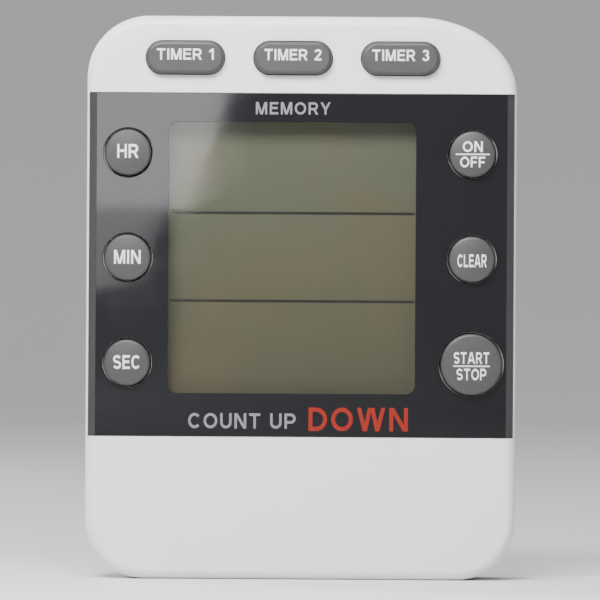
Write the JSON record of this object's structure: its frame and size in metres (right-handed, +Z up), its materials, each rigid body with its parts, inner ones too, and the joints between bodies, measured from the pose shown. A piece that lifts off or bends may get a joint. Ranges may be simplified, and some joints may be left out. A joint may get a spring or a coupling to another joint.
{
  "type": "kitchen timer",
  "caption": "Flat electronic kitchen timer with a large display window in a dark panel, push keys around it, a fold-out stand, magnets and a battery door at the back.",
  "frame": {"origin": "centre of the bounding box on the surface that the timer stands on, under its bottom edge", "axes": "+Z up along the height, -Y out of the display, +X to the right seen from the front"},
  "size_m": [0.084, 0.0198, 0.11],
  "materials": {
    "white_housing": "moulded, semi-gloss",
    "dark_lens": "polished clear sheet, dark print behind",
    "adhesive_film": "double-sided film",
    "display_film": "satin film",
    "display_glass": "polished",
    "contact_rubber": "striped elastomer",
    "keypad_rubber": "moulded silicone",
    "grey_key": "fine matte",
    "circuit_board": "solder mask",
    "black_epoxy": "cast epoxy",
    "plated_steel": "nickel plated",
    "sounder_brass": "rolled sheet",
    "sounder_ceramic": "silvered ceramic",
    "battery_jacket": "printed jacket",
    "black_insulation": "satin",
    "red_insulation": "satin",
    "magnet": "sintered"
  },
  "bodies": {
    "case": {"front_housing": "white_housing", "rear_housing": "white_housing", "lens_panel": "dark_lens", "lens_adhesive": "adhesive_film", "lcd_polariser": "display_film", "lcd_front_glass": "display_glass", "lcd_rear_glass": "display_glass", "lcd_reflector": "display_film", "zebra_strip_top": "contact_rubber", "zebra_strip_bottom": "contact_rubber", "keypad_mat": "keypad_rubber", "main_board": "circuit_board", "chip_blob": "black_epoxy", "crystal": "plated_steel", "capacitor": "black_epoxy", "sounder_plate": "sounder_brass", "sounder_ceramic": "sounder_ceramic", "battery": "battery_jacket", "contact_spring": "plated_steel", "contact_plate_minus": "plated_steel", "contact_plate_plus": "plated_steel", "lead_minus": "black_insulation", "lead_plus": "red_insulation", "sounder_lead_plate": "black_insulation", "sounder_lead_ceramic": "red_insulation", "magnet_left": "magnet", "magnet_right": "magnet", "dome_timer_1": "keypad_rubber", "dome_timer_2": "keypad_rubber", "dome_timer_3": "keypad_rubber", "dome_hour": "keypad_rubber", "dome_minute": "keypad_rubber", "dome_second": "keypad_rubber", "dome_on_off": "keypad_rubber", "dome_clear": "keypad_rubber", "dome_start_stop": "keypad_rubber", "housing_screw_top_left": "plated_steel", "housing_screw_top_right": "plated_steel", "housing_screw_bottom_left": "plated_steel", "housing_screw_bottom_right": "plated_steel", "board_screw_left_low": "plated_steel", "board_screw_left_high": "plated_steel", "board_screw_right_low": "plated_steel", "board_screw_right_high": "plated_steel", "board_screw_bottom_left": "plated_steel", "board_screw_bottom_right": "plated_steel", "board_screw_top_left": "plated_steel", "board_screw_top_right": "plated_steel"},
    "key_timer_1": {"key_timer_1": "grey_key"},
    "key_timer_2": {"key_timer_2": "grey_key"},
    "key_timer_3": {"key_timer_3": "grey_key"},
    "key_hour": {"key_hour": "grey_key"},
    "key_minute": {"key_minute": "grey_key"},
    "key_second": {"key_second": "grey_key"},
    "key_on_off": {"key_on_off": "grey_key"},
    "key_clear": {"key_clear": "grey_key"},
    "key_start_stop": {"key_start_stop": "grey_key"},
    "battery_door": {"battery_door": "white_housing"},
    "stand": {"stand": "white_housing"}
  },
  "joints": [
    {"name": "press_timer_1", "type": "slide", "parent": "case", "child": "key_timer_1", "axis": [0, 1, 0], "range_m": [0, 0.001], "stiffness_N_per_m": 800, "springref_m": -0.0005, "deforming": ["dome_timer_1"]},
    {"name": "press_timer_2", "type": "slide", "parent": "case", "child": "key_timer_2", "axis": [0, 1, 0], "range_m": [0, 0.001], "stiffness_N_per_m": 800, "springref_m": -0.0005, "deforming": ["dome_timer_2"]},
    {"name": "press_timer_3", "type": "slide", "parent": "case", "child": "key_timer_3", "axis": [0, 1, 0], "range_m": [0, 0.001], "stiffness_N_per_m": 800, "springref_m": -0.0005, "deforming": ["dome_timer_3"]},
    {"name": "press_hour", "type": "slide", "parent": "case", "child": "key_hour", "axis": [0, 1, 0], "range_m": [0, 0.001], "stiffness_N_per_m": 800, "springref_m": -0.0005, "deforming": ["dome_hour"]},
    {"name": "press_minute", "type": "slide", "parent": "case", "child": "key_minute", "axis": [0, 1, 0], "range_m": [0, 0.001], "stiffness_N_per_m": 800, "springref_m": -0.0005, "deforming": ["dome_minute"]},
    {"name": "press_second", "type": "slide", "parent": "case", "child": "key_second", "axis": [0, 1, 0], "range_m": [0, 0.001], "stiffness_N_per_m": 800, "springref_m": -0.0005, "deforming": ["dome_second"]},
    {"name": "press_on_off", "type": "slide", "parent": "case", "child": "key_on_off", "axis": [0, 1, 0], "range_m": [0, 0.001], "stiffness_N_per_m": 800, "springref_m": -0.0005, "deforming": ["dome_on_off"]},
    {"name": "press_clear", "type": "slide", "parent": "case", "child": "key_clear", "axis": [0, 1, 0], "range_m": [0, 0.001], "stiffness_N_per_m": 800, "springref_m": -0.0005, "deforming": ["dome_clear"]},
    {"name": "press_start_stop", "type": "slide", "parent": "case", "child": "key_start_stop", "axis": [0, 1, 0], "range_m": [0, 0.001], "stiffness_N_per_m": 800, "springref_m": -0.0005, "deforming": ["dome_start_stop"]},
    {"name": "stand_fold", "type": "hinge", "parent": "case", "child": "stand", "pos_m": [0, 0.0083, 0.062], "axis": [1, 0, 0], "range_deg": [0, 38]},
    {"name": "battery_door_open", "type": "hinge", "parent": "case", "child": "battery_door", "pos_m": [0, 0.0091, 0.0223], "axis": [1, 0, 0], "range_deg": [0, 70]}
  ]
}
